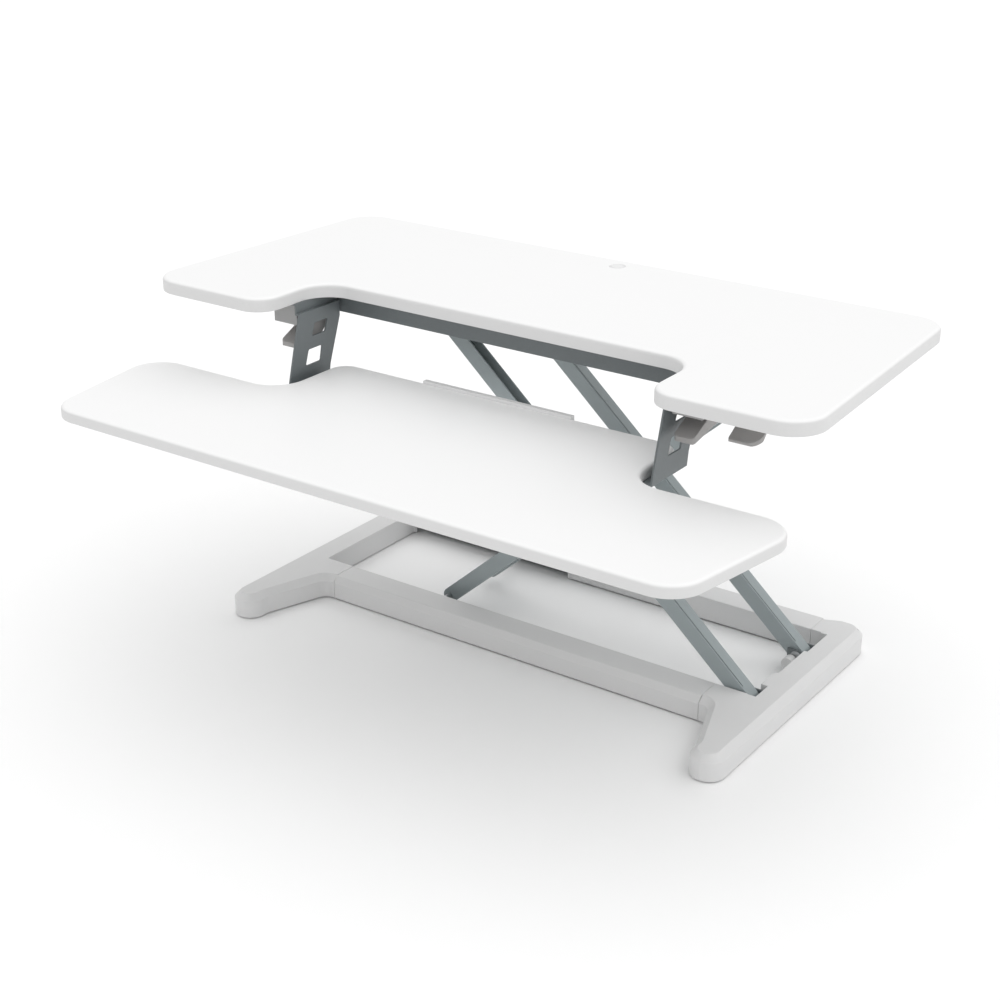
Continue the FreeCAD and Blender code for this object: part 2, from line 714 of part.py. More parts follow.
def alongArm(share, from_top):
    """Place on an arm at a distance from its fixed pivot, given as a share of its length."""
    x = pivot_x - share * (pivot_x - slider_x)
    z = top_z - share * size["rise"] if from_top else low_z + share * size["rise"]
    return x, z


def mainArms():
    """The outer pair of arms, pinned to the base at the right and rolling under the board."""
    half = arm_reach / 2
    bores = [(0.0, bush_outer), (-half, size["pin_radius"]), (-arm_reach, size["axle_radius"])]
    for name, y0, opened in (("front_main_arm", main_front_y, True),
                             ("rear_main_arm", main_rear_y, False)):
        boredArm(name, y0, size["main_arm_width"], bores, arm_angle, pivot_x, low_z, opened)
    width = size["main_arm_width"]
    piece("main_arm_bushes", group(*[
        sleeve(pivot_x, low_z, y0, width, bush_outer, bush_bore)
        for y0 in (main_front_y, main_rear_y)]))
    tubes = []
    for share in (size["low_tube_share"], size["high_tube_share"]):
        x, z = alongArm(share, False)
        tubes.append(sleeve(x, z, mid_y - main_in, 2 * main_in, size["tube_radius"] - 1.0,
                            size["tube_radius"] - 1.0 - tube_wall))
    piece("main_arm_cross_tubes", group(*tubes))
    head, head_rim, nut_height, nut_rim = 3.0, 3.0, 5.0, 2.5
    washer_radius, washer_play, shaft_end = 9.0, 0.3, 1.0
    bolts = []
    washers = []
    for side in (-1.0, 1.0):
        outer = mid_y + side * main_out
        inner = mid_y + side * counter_in
        reach = size["main_arm_width"] + size["arm_gap"] + size["counter_arm_width"] + shaft_end
        start = outer if side < 0 else inner - shaft_end
        shaft = rod("y", centre_x, start, centre_z, size["pin_radius"], reach)
        cap = outer - head if side < 0 else outer
        nut = inner + shaft_end if side < 0 else inner - shaft_end - nut_height
        bolts.append(fuse(
            shaft, rod("y", centre_x, cap, centre_z, size["pin_radius"] + head_rim, head),
            rod("y", centre_x, nut, centre_z, size["pin_radius"] + nut_rim, nut_height)))
        gap_start = (mid_y - main_in if side < 0 else mid_y + counter_out) + washer_play
        washers.append(sleeve(centre_x, centre_z, gap_start, size["arm_gap"] - 2 * washer_play,
                              washer_radius, size["pin_radius"] + 0.1))
    piece("centre_pivot_bolts", group(*bolts))
    piece("centre_washers", group(*washers))
    roller_front = front_rail_out + size["track_wall"] + roller_side
    roller_rear = rear_rail_out - size["track_wall"] - roller_side - size["roller_width"]
    axles = [axle(slider_x, top_z, roller_front, mid_y - main_in, -1),
             axle(slider_x, top_z, mid_y + main_in, roller_rear + size["roller_width"], 1)]
    piece("upper_roller_axles", group(*axles))
    roller("upper_roller_front", slider_x, top_z, roller_front)
    roller("upper_roller_rear", slider_x, top_z, roller_rear)


def axle(x, z, y0, y1, side):
    """A roller axle with a retaining cap at its outer end and a shoulder beside the roller."""
    shoulder, shoulder_rim, shoulder_play = 2.0, 2.0, 0.4
    cap, cap_rim, cap_play = 1.2, 1.6, 0.3
    shaft = rod("y", x, y0 - (cap + cap_play if side < 0 else 0.0), z, size["axle_radius"],
                y1 - y0 + cap + cap_play)
    cap_y = y0 - cap_play - cap if side < 0 else y1 + cap_play
    past = size["roller_width"] + shoulder_play
    edge = y0 + past if side < 0 else y1 - past - shoulder
    return fuse(shaft, rod("y", x, cap_y, z, size["axle_radius"] + cap_rim, cap),
                rod("y", x, edge, z, size["axle_radius"] + shoulder_rim, shoulder))


def roller(name, x, z, y0):
    """A wheel with a shallow waist and a running bore."""
    waist_width, waist_depth = 4.0, 0.8
    outer = rod("y", x, y0, z, size["roller_radius"], size["roller_width"])
    waist = sleeve(x, z, y0 + (size["roller_width"] - waist_width) / 2, waist_width,
                   size["roller_radius"] + 1.0, size["roller_radius"] - waist_depth)
    bore = rod("y", x, y0 - 1.0, z, size["axle_radius"] + 0.05, size["roller_width"] + 2.0)
    piece(name, cut(outer, waist, bore))


def counterArms():
    """The inner pair of arms, pinned to the board at the right and rolling in the base."""
    half = arm_reach / 2
    bores = [(0.0, bush_outer), (-half, bush_outer), (-arm_reach, size["axle_radius"])]
    width = size["counter_arm_width"]
    for name, y0 in (("front_counter_arm", counter_front_y), ("rear_counter_arm", counter_rear_y)):
        boredArm(name, y0, width, bores, -arm_angle, pivot_x, top_z)
    bushes = [sleeve(x, z, y0, width, bush_outer, bush_bore)
              for x, z in ((pivot_x, top_z), (centre_x, centre_z))
              for y0 in (counter_front_y, counter_rear_y)]
    piece("counter_arm_bushes", group(*bushes))
    x, z = alongArm(size["counter_tube_share"], True)
    piece("counter_arm_lower_tube", sleeve(x, z, mid_y - counter_in, 2 * counter_in,
                                           size["tube_radius"], size["tube_radius"] - tube_wall))
    end_play = 0.2
    piece("counter_arm_torque_tube", sleeve(pivot_x, top_z, mid_y - counter_in + end_play,
                                            2 * (counter_in - end_play), size["tube_radius"],
                                            bush_outer + 0.1))
    reach = track_cover_gap + size["low_track_depth"] - size["track_wall"] - roller_side
    roller_front = front_beam_in - reach
    roller_rear = rear_beam_in + reach - size["roller_width"]
    axles = [axle(slider_x, low_z, roller_front, mid_y - counter_in, -1),
             axle(slider_x, low_z, mid_y + counter_in, roller_rear + size["roller_width"], 1)]
    piece("lower_roller_axles", group(*axles))
    roller("lower_roller_front", slider_x, low_z, roller_front)
    roller("lower_roller_rear", slider_x, low_z, roller_rear)


# gas spring
crank_lead = math.radians(size["crank_lead"].value)
crank_sin = Length(math.sin(crank_lead), "sin(sizes.crank_lead * 1deg)")
crank_cos = Length(math.cos(crank_lead), "cos(sizes.crank_lead * 1deg)")
crank_x = pivot_x + size["crank_length"] * crank_sin
crank_z = top_z - size["crank_length"] * crank_cos
anchor_x = crank_x - size["gas_reach"]
gas_pin = size["gas_pin_radius"]


def gasSpring():
    """The spring's crank, rod, cylinder and its anchor under the board."""
    plate, half_plate, eye_wall = 3.0, 9.0, 4.0
    plates = []
    pin_end = mid_y - size["gas_pin_length"] / 2
    cap = size["pin_head_depth"]
    far_cap = mid_y + size["gas_pin_length"] / 2 - cap
    for y0 in (pin_end + cap, far_cap - plate):
        bar = block(-half_plate, half_plate, y0, y0 + plate, -size["crank_length"], 0.0)
        ends = [rod("y", 0.0, y0, 0.0, size["tube_radius"] + 2.0, plate),
                rod("y", 0.0, y0, -size["crank_length"], half_plate, plate)]
        bores = [rod("y", 0.0, y0 - 1.0, 0.0, size["tube_radius"], plate + 2.0),
                 rod("y", 0.0, y0 - 1.0, -size["crank_length"], gas_pin, plate + 2.0)]
        plates.append(cut(fuse(bar, *ends), *bores))
    piece("gas_spring_crank", turned(group(*plates), -size["crank_lead"].value, pivot_x, top_z))
    pin = rod("y", crank_x, pin_end, crank_z, gas_pin, size["gas_pin_length"])
    caps = [rod("y", crank_x, y0, crank_z, gas_pin + 2.0, cap) for y0 in (pin_end, far_cap)]
    piece("crank_pin", fuse(pin, *caps))
    half_eye = size["gas_eye_width"] / 2
    body_start = anchor_x + 14.0
    body_length = size["gas_reach"] - 80.0
    body_end = body_start + body_length
    rod_radius = size["gas_rod_radius"]
    eye = fuse(rod("y", crank_x, mid_y - half_eye, crank_z, gas_pin + eye_wall, size["gas_eye_width"]),
               block(crank_x - 14.0, crank_x - 4.0, mid_y - half_eye, mid_y + half_eye,
                     crank_z - 5.0, crank_z + 5.0))
    bore = rod("y", crank_x, mid_y - half_eye - 1.0, crank_z, gas_pin + size["pin_gap"],
               size["gas_eye_width"] + 2.0)
    piston_end, neck = body_end - 62.0, 4.0
    stem = rod("x", piston_end, mid_y, crank_z, rod_radius, crank_x - 10.0 - piston_end)
    piston = rod("x", piston_end - neck, mid_y, crank_z, size["gas_body_radius"] - 3.0, 6.0)
    piece("gas_spring_rod", cut(fuse(eye, stem, piston), bore))
    shell = fuse(rod("x", body_start, mid_y, crank_z, size["gas_body_radius"] - 1.0, body_length),
                 cone("x", body_end, mid_y, crank_z, size["gas_body_radius"] - 1.0,
                      size["gas_body_radius"] - 3.0, 3.0),
                 block(anchor_x, body_start + 1.0, mid_y - half_eye, mid_y + half_eye,
                       crank_z - 6.0, crank_z + 6.0),
                 rod("y", anchor_x, mid_y - half_eye, crank_z,
                     gas_pin + size["gas_eye_slack"] + 3.5, size["gas_eye_width"]))
    inside = rod("x", body_start + 3.0, mid_y, crank_z, size["gas_body_radius"] - 2.9,
                 body_length - 9.0)
    gland = rod("x", body_end - 12.0, mid_y, crank_z, rod_radius + 0.05, 20.0)
    eye_bore = rod("y", anchor_x, mid_y - half_eye - 1.0, crank_z,
                   gas_pin + size["gas_eye_slack"], size["gas_eye_width"] + 2.0)
    piece("gas_spring_cylinder", cut(shell, inside, gland, eye_bore))
    # the swing of the crank lifts the spring a little, so the anchor sits low in its slack eye
    anchor_z = crank_z - 0.4
    ear = size["ear_thickness"]
    half_ear = 11.0
    left, right = anchor_x - half_ear, anchor_x + half_ear
    ears = [block(left, right, y0, y0 + ear, crank_z - half_ear, desk_low - ear)
            for y0 in (pin_end + cap, far_cap - ear)]
    plate = block(left, right, mid_y - 28.0, mid_y + 28.0, desk_low - ear, desk_low)
    hole = rod("y", anchor_x, pin_end - 1.0, anchor_z, gas_pin, size["gas_pin_length"] + 2.0)
    piece("gas_spring_bracket", cut(fuse(plate, *ears), hole))
    anchor = rod("y", anchor_x, pin_end, anchor_z, gas_pin, size["gas_pin_length"])
    heads = [rod("y", anchor_x, y0, anchor_z, gas_pin + 2.0, cap) for y0 in (pin_end, far_cap)]
    piece("gas_spring_pin", fuse(anchor, *heads))


# frame under the worksurface
def topRails():
    """Two C channels under the board, each with a skirt over its full height."""
    for name, inner, side in (("front_top_rail", front_rail_in, -1),
                              ("rear_top_rail", rear_rail_in, 1)):
        channel = trackChannel(size["top_rail_start"], size["top_rail_end"], inner,
                               size["top_rail_depth"], top_z, side)
        outer = inner + side * size["top_rail_depth"]
        y0 = outer if side < 0 else outer - size["track_wall"]
        skirt = block(size["top_rail_start"], size["top_rail_end"], y0, y0 + size["track_wall"],
                      rail_low, desk_low)
        piece(name, fuse(channel, skirt))


def deckLugs():
    """Ears between the arm pairs that hang the board on the counter arms' upper pivot."""
    ear = size["ear_thickness"]
    cap = size["pin_head_depth"]
    half_lug, flange = 16.0, 2.5
    pins = []
    lugs = []
    for side in (-1.0, 1.0):
        face = mid_y + side * (counter_out + (size["arm_gap"] - ear) / 2)
        y0, y1 = (face - ear, face) if side < 0 else (face, face + ear)
        near, far = (front_rail_in + 0.5, y1) if side < 0 else (y0, rear_rail_in - 0.5)
        x0, x1 = pivot_x - half_lug, pivot_x + half_lug
        bar = fuse(block(x0, x1, y0, y1, top_z - 9.0, desk_low),
                   rod("y", pivot_x, y0, top_z, half_depth + 1.0, ear),
                   block(x0, x1, near, far, desk_low - flange, desk_low))
        clip = block(x0 - 4.0, x1 + 4.0, y0 - 1.0, y1 + 1.0, desk_low, desk_low + 9.0)
        hole = rod("y", pivot_x, y0 - 1.0, top_z, size["pin_radius"], ear + 2.0)
        lugs.append(cut(bar, clip, hole))
        reach = ear + size["arm_gap"] + size["counter_arm_width"] + 5.0
        start = y0 - cap if side < 0 else y1 + cap - reach
        head = y0 - cap if side < 0 else y1
        pins.append(fuse(rod("y", pivot_x, start, top_z, size["pin_radius"], reach),
                         rod("y", pivot_x, head, top_z, size["pin_radius"] + size["pin_head_rim"],
                             cap)))
    piece("deck_pivot_lugs", group(*lugs))
    piece("deck_pivot_pins", group(*pins))


def trayBracket(name, side):
    """A hanging plate with two windows, a fold out to the board and a flange under the tray."""
    wall = size["bracket_thickness"]
    x_out = size["bracket_x"]
    x_in = x_out - wall
    front, rear = size["bracket_front_y"], size["bracket_rear_y"]
    shelf = desk_low - size["bracket_fold_drop"]
    low = tray_low - wall
    body = newBody(name)
    plan = [(front, shelf), (rear, shelf), (rear, shelf - 20.0), (rear - 22.0, tray_top),
            (rear - 25.0, low), (front - 26.0, low), (front - 22.0, tray_top)]
    pad(body, outline(body, "YZ_Plane", plan), wall)
    windows = {
        "upper": [(front + 29.0, shelf - 18.0), (front + 55.0, shelf - 18.0),
                  (front + 48.5, shelf - 34.5), (front + 22.0, shelf - 34.5)],
        "lower": [(front + 15.0, shelf - 51.0), (front + 42.0, shelf - 51.0),
                  (front + 37.5, shelf - 71.5), (front + 8.0, shelf - 71.5)],
    }
    place(body, (x_in if side > 0 else -x_out), 0.0, 0.0)
    for stem, window in windows.items():
        body.Tip = pocket(body, outline(body, "YZ_Plane", window, stem), wall, True)
    corners = [spot for window in windows.values() for spot in window]
    roundCorners(body, "x", [(corners, size["window_round"])], 0.1)
    fold_x = x_out + size["bracket_joggle"]
    ledge = spanBox(side, x_out - 0.5, fold_x, front, rear, shelf - wall, shelf)
    riser = spanBox(side, fold_x - wall, fold_x, front, rear, shelf - wall, desk_low)
    flange = spanBox(side, fold_x - 0.5, fold_x + size["housing_width"], front, rear,
                     desk_low - wall, desk_low)
    foot = spanBox(side, size["tongue_half_width"] - 34.0, x_in + 0.5, front - 26.0, rear - 34.0,
                   low, tray_low)
    piece(name, fuse(body, ledge, riser, flange, foot))


def housing(name, side):
    """A box under the bracket's flange, open below, that holds one grip lever on its pin."""
    x0 = size["bracket_x"] + size["bracket_joggle"] + 0.2
    x1 = x0 + size["housing_width"]
    wall = size["housing_wall"]
    front, rear = size["housing_front_y"], front_rail_out - 0.4
    top = desk_low - size["bracket_thickness"]
    shell = spanBox(side, x0, x1, front, rear, rail_low, top)
    room = spanBox(side, x0 + wall, x1 - wall, front + wall, rear - wall, rail_low - 1.0,
                   top - wall)
    x, y, z = leverHinge(x0 - 1.0)
    bore = rod("x", x if side > 0 else -(x1 + 1.0), y, z, size["lever_pin_radius"], x1 - x0 + 2.0)
    piece(name, cut(shell, room, bore))
    return x0, x1


def leverHinge(x):
    """A grip lever's hinge pin, behind the housing's middle and under the board."""
    return x, front_rail_out - 13.0, desk_low - 19.0


def leverBlade(x0, width, plan, scoop):
    """A blade along X, given by its side outline from the tip's two edges to its inner bend."""
    body = newBody("blade")
    pad(body, outline(body, "YZ_Plane", plan), width)
    roundCorners(body, "x", [(plan[:2], size["tip_round"]), (plan[-1:], scoop)], 0.1)
    place(body, x0, 0.0, 0.0)
    return body


def frontCorners(x0, width, tip_y, rear_y, left, right):
    """A tall block over a blade, with a round of its own on each front corner."""
    body = newBody("corners")
    plan = [(x0, tip_y), (x0 + width, tip_y), (x0 + width, rear_y), (x0, rear_y)]
    pad(body, outline(body, "XY_Plane", plan), desk_top)
    roundCorners(body, "z", [(plan[:1], left), (plan[1:2], right)])
    return body


def onPin(name, x0, width, hinge, blade):
    """The blade joined to a knuckle that turns on a hinge pin."""
    y, z = hinge
    knuckle = rod("x", x0, y, z, size["knuckle_radius"], width)
    bore = rod("x", x0 - 1.0, y, z, size["lever_pin_radius"] + size["pin_gap"], width + 2.0)
    piece(name, cut(fuse(blade, knuckle), bore))


def common(first, second):
    item = fresh("Part::MultiCommon", "common")
    item.Shapes = [first, second]
    return item


coil_turns = 3
coil_length = 2 * size["spring_wire"] + size["spring_pitch"] * (coil_turns - 1)


def gripLever(name, start, hinge):
    """A finger lever: a sloping blade with rounded front corners, bent up to its knuckle."""
    y, z = hinge
    width, corner = size["lever_width"], size["lever_corner"]
    tip_y, lip = size["housing_front_y"] - 2.0, rail_low - size["lever_drop"]
    plan = [(tip_y, lip + 4.0), (tip_y + 1.5, lip - 3.0), (y - 15.0, lip + 7.0), (y + 5.0, z - 12.0),
            (y + 5.0, z + 5.0), (y - 9.0, z + 5.0), (tip_y + 34.0, lip + 20.0)]
    blade = leverBlade(start, width, plan, size["lever_scoop"])
    onPin(name, start, width, hinge,
          common(blade, frontCorners(start, width, tip_y, y + 9.0, corner, corner)))


def lockPaddle(x0, hinge):
    """A sloping tab with one broad round at its outer front corner, in its own bracket."""
    y, z = hinge
    width = size["paddle_width"]
    tip_y, low = y - size["paddle_reach"], desk_low - size["paddle_drop"]
    plan = [(tip_y, low + 3.5), (tip_y + 1.0, low - 0.5), (tip_y + 14.0, low + 4.0),
            (y - 4.0, z - 20.0), (y + 5.0, z - 6.0), (y + 5.0, z + 5.0), (y - 6.0, z + 5.0),
            (y - 14.0, low + 20.0)]
    blade = leverBlade(x0, width, plan, size["paddle_scoop"])
    corners = frontCorners(x0, width, tip_y, y + 9.0, size["lever_corner"] / 2, size["paddle_corner"])
    onPin("lock_paddle", x0, width, hinge, common(blade, corners))
    ear = size["ear_thickness"]
    near, far = y - 10.0, y + 10.6
    inner, outer = x0 - ear - 6.0, x0 + width + 6.0
    ears = [block(x, x + ear, near, far, z - 7.0, desk_low) for x in (inner, outer)]
    plate = block(inner, outer + ear, near, far, desk_low - 2.0, desk_low)
    bore = rod("x", inner - 1.0, y, z, size["lever_pin_radius"], outer - inner + ear + 2.0)
    piece("paddle_bracket", cut(fuse(plate, *ears), bore))
    return rod("x", inner - 0.5, y, z, size["lever_pin_radius"], outer - inner + ear + 1.0)


def levers():
    pins = []
    springs = []
    for side, left_name in ((-1, "left"), (1, "right")):
        x0, x1 = housing(f"{left_name}_lever_housing", side)
        start = x0 + size["housing_wall"] + 0.5
        end = start + size["lever_width"]
        y, z = leverHinge(x0)[1:]
        gripLever(f"{left_name}_grip_lever", start if side > 0 else -end, (y, z))
        pins.append(rod("x", x0 - 0.2 if side > 0 else -(x1 + 0.2), y, z, size["lever_pin_radius"],
                        x1 - x0 + 0.4))
        springs += coil(end + 0.3 if side > 0 else -(end + 0.3 + coil_length), y, z)
    x0 = size["paddle_x"] - size["paddle_width"] / 2
    y, z = front_rail_out - 11.0, desk_low - 9.0
    pins.append(lockPaddle(x0, (y, z)))
    springs += coil(x0 - 0.3 - coil_length, y, z)
    piece("lever_hinge_pins", group(*pins))
    piece("lever_return_springs", group(*springs))


def coil(x, y, z):
    """Three close rings round a hinge pin, starting at x."""
    rings = []
    for turn in range(coil_turns):
        ring = fresh("Part::Torus", "ring")
        bind(ring, "Radius1", size["lever_pin_radius"] + size["spring_wire"] + 0.2)
        bind(ring, "Radius2", size["spring_wire"])
        place(ring, x + size["spring_wire"] + size["spring_pitch"] * turn, y, z, (YDIR, 90))
        rings.append(ring)
    return rings


def topScrews():
    heads = []
    spots = []
    head, length, tray_head, inset = 1.0, 13.0, 2.0, 8.0
    for y in (front_rail_in - inset, rear_rail_in + inset):
        spots += [(x, y, desk_low - size["track_wall"]) for x in (-316.0, -80.0, 120.0, 300.0)]
    ear = size["ear_thickness"]
    spots += [(anchor_x, mid_y + s * 20.0, desk_low - ear) for s in (-1.0, 1.0)]
    spots += [(pivot_x, mid_y + s * (main_out - 3.0), desk_low - ear) for s in (-1.0, 1.0)]
    under_housing = desk_low - size["bracket_thickness"] - size["housing_wall"]
    flange_x = size["bracket_x"] + size["bracket_joggle"] + 14.0
    spots += [(s * flange_x, size["bracket_front_y"] + y, under_housing)
              for s in (-1.0, 1.0) for y in (15.0, 52.0)]
    for x, y, z in spots:
        heads.append(fuse(rod("z", x, y, z - head, size["screw_head_radius"], head),
                          rod("z", x, y, z - head / 2, size["screw_radius"], length)))
    piece("top_frame_screws", group(*heads))
    trays = []
    low = tray_low - size["bracket_thickness"]
    for side in (-1.0, 1.0):
        for y in (-70.0, -22.0):
            x = side * (size["tongue_half_width"] - 16.0)
            trays.append(fuse(rod("z", x, y, low - tray_head, size["screw_head_radius"], tray_head),
                              rod("z", x, y, low - tray_head / 2, size["screw_radius"], 12.0)))
    piece("tray_screws", group(*trays))


def deck():
    worksurface()
    grommetPlug()
    keyboardTray()
    topRails()
    deckLugs()
    for side, left_name in ((-1, "left"), (1, "right")):
        trayBracket(f"{left_name}_tray_bracket", side)
    levers()
    topScrews()


def checkAndExport():
    doc.recompute()
    bad = [item.Name for item in doc.Objects if set(item.State) & {"Invalid", "Error"}]
    if bad:
        raise ValueError(f"failed objects: {bad}")
    os.makedirs("parts", exist_ok=True)
    for name, item in pieces.items():
        shape = item.Shape
        if shape.isNull() or not shape.isValid() or not shape.Solids:
            raise ValueError(f"{name} has no valid solid")
        if item.TypeId != "Part::Compound" and len(shape.Solids) > 1:
            raise ValueError(f"{name} has come apart into {len(shape.Solids)} solids")
        shape.exportStep(os.path.join("parts", f"{name}.step"))
    print(len(pieces), "pieces")


base()
mainArms()
counterArms()
gasSpring()
deck()
checkAndExport()
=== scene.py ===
import json
import math
import bmesh
import bpy
from mathutils import Matrix, Vector


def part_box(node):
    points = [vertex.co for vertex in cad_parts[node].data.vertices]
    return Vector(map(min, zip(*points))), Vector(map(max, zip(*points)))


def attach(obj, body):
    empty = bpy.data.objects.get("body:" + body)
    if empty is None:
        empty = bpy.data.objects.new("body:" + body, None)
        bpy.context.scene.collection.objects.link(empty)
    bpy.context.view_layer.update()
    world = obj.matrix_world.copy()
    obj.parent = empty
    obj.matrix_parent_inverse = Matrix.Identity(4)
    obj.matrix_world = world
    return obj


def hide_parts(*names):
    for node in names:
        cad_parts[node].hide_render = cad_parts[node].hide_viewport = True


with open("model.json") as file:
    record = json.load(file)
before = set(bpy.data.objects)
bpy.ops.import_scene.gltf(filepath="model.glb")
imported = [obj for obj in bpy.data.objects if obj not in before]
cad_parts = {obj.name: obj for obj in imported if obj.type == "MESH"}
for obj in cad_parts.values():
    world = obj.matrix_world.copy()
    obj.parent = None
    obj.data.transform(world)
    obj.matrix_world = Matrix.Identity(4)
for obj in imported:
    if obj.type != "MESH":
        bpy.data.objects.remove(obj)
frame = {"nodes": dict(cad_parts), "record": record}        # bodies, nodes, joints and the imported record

scene = bpy.context.scene
nodes = frame["nodes"]
bodyOf = {node: body for body, members in frame["record"]["behaviour"]["bodies"].items() for node in members}
slotOf = {part["node"]: part["material_slot"] for part in frame["record"]["subparts"]}
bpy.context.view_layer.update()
mm = 0.001
weldGap = 0.002 * mm    # corners nearer than this are one corner
print("frame loaded with", len(nodes), "nodes")


class Wire:            # an output socket that can be used in sums
    def __init__(self, tree, socket):
        self.tree = tree
        self.socket = socket

    def sum(self, operation, first, second):
        return self.tree.node("ShaderNodeMath", {"operation": operation}, {0: first, 1: second})

    def __add__(self, other):
        return self.sum("ADD", self, other)

    def __radd__(self, other):
        return self.sum("ADD", other, self)

    def __sub__(self, other):
        return self.sum("SUBTRACT", self, other)

    def __rsub__(self, other):
        return self.sum("SUBTRACT", other, self)

    def __mul__(self, other):
        return self.sum("MULTIPLY", self, other)

    def __rmul__(self, other):
        return self.sum("MULTIPLY", other, self)


class Tree:            # a node tree with one way to add a node
    def __init__(self, tree):
        self.tree = tree

    def node(self, kind, settings=None, sockets=None, out=0):
        made = self.tree.nodes.new(kind)
        for key, value in (settings or {}).items():
            if key == "stops":
                self.setStops(made.color_ramp, value)
            else:
                setattr(made, key, value)
        for key, value in (sockets or {}).items():
            for item in value if isinstance(value, list) else [value]:
                if isinstance(item, Wire):
                    self.tree.links.new(item.socket, made.inputs[key])
                else:
                    made.inputs[key].default_value = item
        return Wire(self, made.outputs[out]) if made.outputs else None

    def setStops(self, ramp, stops):
        for i, (place, colour) in enumerate(stops):
            stop = ramp.elements[i] if i < 2 else ramp.elements.new(place)
            stop.position = place
            stop.color = colour

    def noise(self, scale, detail=2.0, roughness=0.5, at=None):
        sockets = {"Vector": at or self.place, "Scale": scale, "Detail": detail, "Roughness": roughness}
        return self.node("ShaderNodeTexNoise", None, sockets)

    def mix(self, factor, first, second):
        return self.node("ShaderNodeMix", {"data_type": "RGBA"}, {0: factor, 6: first, 7: second}, out=2)

    def spread(self, value, low, high):          # a 0..1 pattern moved into a range
        return self.node("ShaderNodeMapRange", None,
                         {"Value": value, "From Min": 0.25, "From Max": 0.75, "To Min": low, "To Max": high})

    def stretched(self, scales):                 # object coordinates squeezed or drawn out along an axis
        return self.node("ShaderNodeMapping", {"vector_type": "POINT"},
                         {"Vector": self.place, "Scale": scales})


def tint(code, gain=1.0):
    channels = [int(code[i:i + 2], 16) / 255 for i in (1, 3, 5)]
    linear = [c / 12.92 if c <= 0.04045 else ((c + 0.055) / 1.055) ** 2.4 for c in channels]
    return (*[min(1.0, c * gain) for c in linear], 1.0)


def newMaterial(name):
    material = bpy.data.materials.new(name)
    material.use_nodes = True
    material.node_tree.nodes.clear()
    tree = Tree(material.node_tree)
    tree.place = tree.node("ShaderNodeTexCoord", out=3)
    return material, tree


def finishWith(tree, fixed, **varying):
    shader = tree.node("ShaderNodeBsdfPrincipled", None, {**fixed, **varying})
    tree.node("ShaderNodeOutputMaterial", None, {"Surface": shader})


def bumpFrom(tree, height, distance, strength=1.0):
    return tree.node("ShaderNodeBump", None, {"Height": height, "Distance": distance, "Strength": strength})


def laminateWithPaintedShade():             # a white top face; sideways and downward faces get painted shade, a greyer colour set by facing
    look = {"face": "#f4f4f4", "sideShade": "#dcdcdc", "under": "#d6d6d5", "smudge": "#d9d9d6", "mottle": 7.0,
            "pebble": 1500.0, "depth": 0.05 * mm, "rough": (0.40, 0.50)}
    material, tree = newMaterial("whiteLaminate")
    # painted shade: masks from which way each face turns, up, sideways or down
    facing = tree.node("ShaderNodeSeparateXYZ", None, {0: tree.node("ShaderNodeTexCoord", out=1)}, out=2)
    upward = tree.node("ShaderNodeMapRange", {"interpolation_type": "SMOOTHSTEP"},
                       {"Value": facing, "From Min": 0.35, "From Max": 0.85})
    downward = tree.node("ShaderNodeMapRange", None, {"Value": facing, "From Min": -0.5, "From Max": -0.8})
    mottle = tree.noise(look["mottle"], 3.0)
    pebble = tree.noise(look["pebble"], 2.0, 0.6)
    # painted shade: sideways faces take the greyer side colour, downward faces the underside colour, tops
    # keep the white face colour
    edge = tree.mix(downward, tint(look["sideShade"]), tint(look["under"]))
    base = tree.mix(upward, edge, tint(look["face"]))
    shaded = tree.mix(tree.spread(mottle, 0.0, 0.05), base, tint(look["smudge"]))
    rough = tree.spread(mottle, *look["rough"]) + tree.spread(pebble, -0.03, 0.05)
    bump = bumpFrom(tree, pebble, look["depth"], 0.5)
    finishWith(tree, {"IOR": 1.5}, **{"Base Color": shaded, "Roughness": rough, "Normal": bump})
    return material


def powderCoat(name, colour, deep, peelDepth=0.05 * mm):      # orange peel, faint clouds, pale flecks
    look = {"peel": 420.0, "grain": 2400.0, "cloud": 11.0, "fleck": "#c9d0d2", "fleckShare": 0.18,
            "fleckMetal": 0.35, "rough": (0.36, 0.46)}
    material, tree = newMaterial(name)
    peel = tree.noise(look["peel"], 2.0, 0.45)
    grain = tree.noise(look["grain"], 1.0)
    cloud = tree.noise(look["cloud"], 3.0)
    speck = tree.node("ShaderNodeMapRange", None, {"Value": grain, "From Min": 0.62, "From Max": 0.75})
    toned = tree.mix(tree.spread(cloud, 0.0, 0.35), tint(colour), tint(deep))
    flecked = tree.mix(speck * look["fleckShare"], toned, tint(look["fleck"]))
    rough = tree.spread(cloud, *look["rough"]) + tree.spread(peel, -0.05, 0.05)
    bump = bumpFrom(tree, peel + grain * 0.25, peelDepth, 0.7)
    finishWith(tree, {"IOR": 1.5}, **{"Base Color": flecked, "Roughness": rough,
                                      "Metallic": speck * look["fleckMetal"], "Normal": bump})
    return material


def mouldedPlastic(name, colour, deep, grainScale=1900.0, depth=0.06 * mm, rough=0.5):
    look = {"flow": 5.0, "drawnOut": (1.0, 2.5, 1.0), "flowShare": 0.3, "pitShare": 0.10}
    material, tree = newMaterial(name)
    spark = tree.noise(grainScale, 3.0, 0.65)
    flow = tree.noise(look["flow"], 2.0, at=tree.stretched(look["drawnOut"]))
    body = tree.mix(tree.spread(flow, 0.0, look["flowShare"]), tint(colour), tint(deep))
    pitted = tree.mix(tree.spread(spark, 0.0, look["pitShare"]), body, tint(deep))
    roughness = tree.spread(flow, rough - 0.03, rough + 0.04) + tree.spread(spark, -0.05, 0.06)
    bump = bumpFrom(tree, spark, depth, 0.6)
    finishWith(tree, {"IOR": 1.46}, **{"Base Color": pitted, "Roughness": roughness, "Normal": bump})
    return material


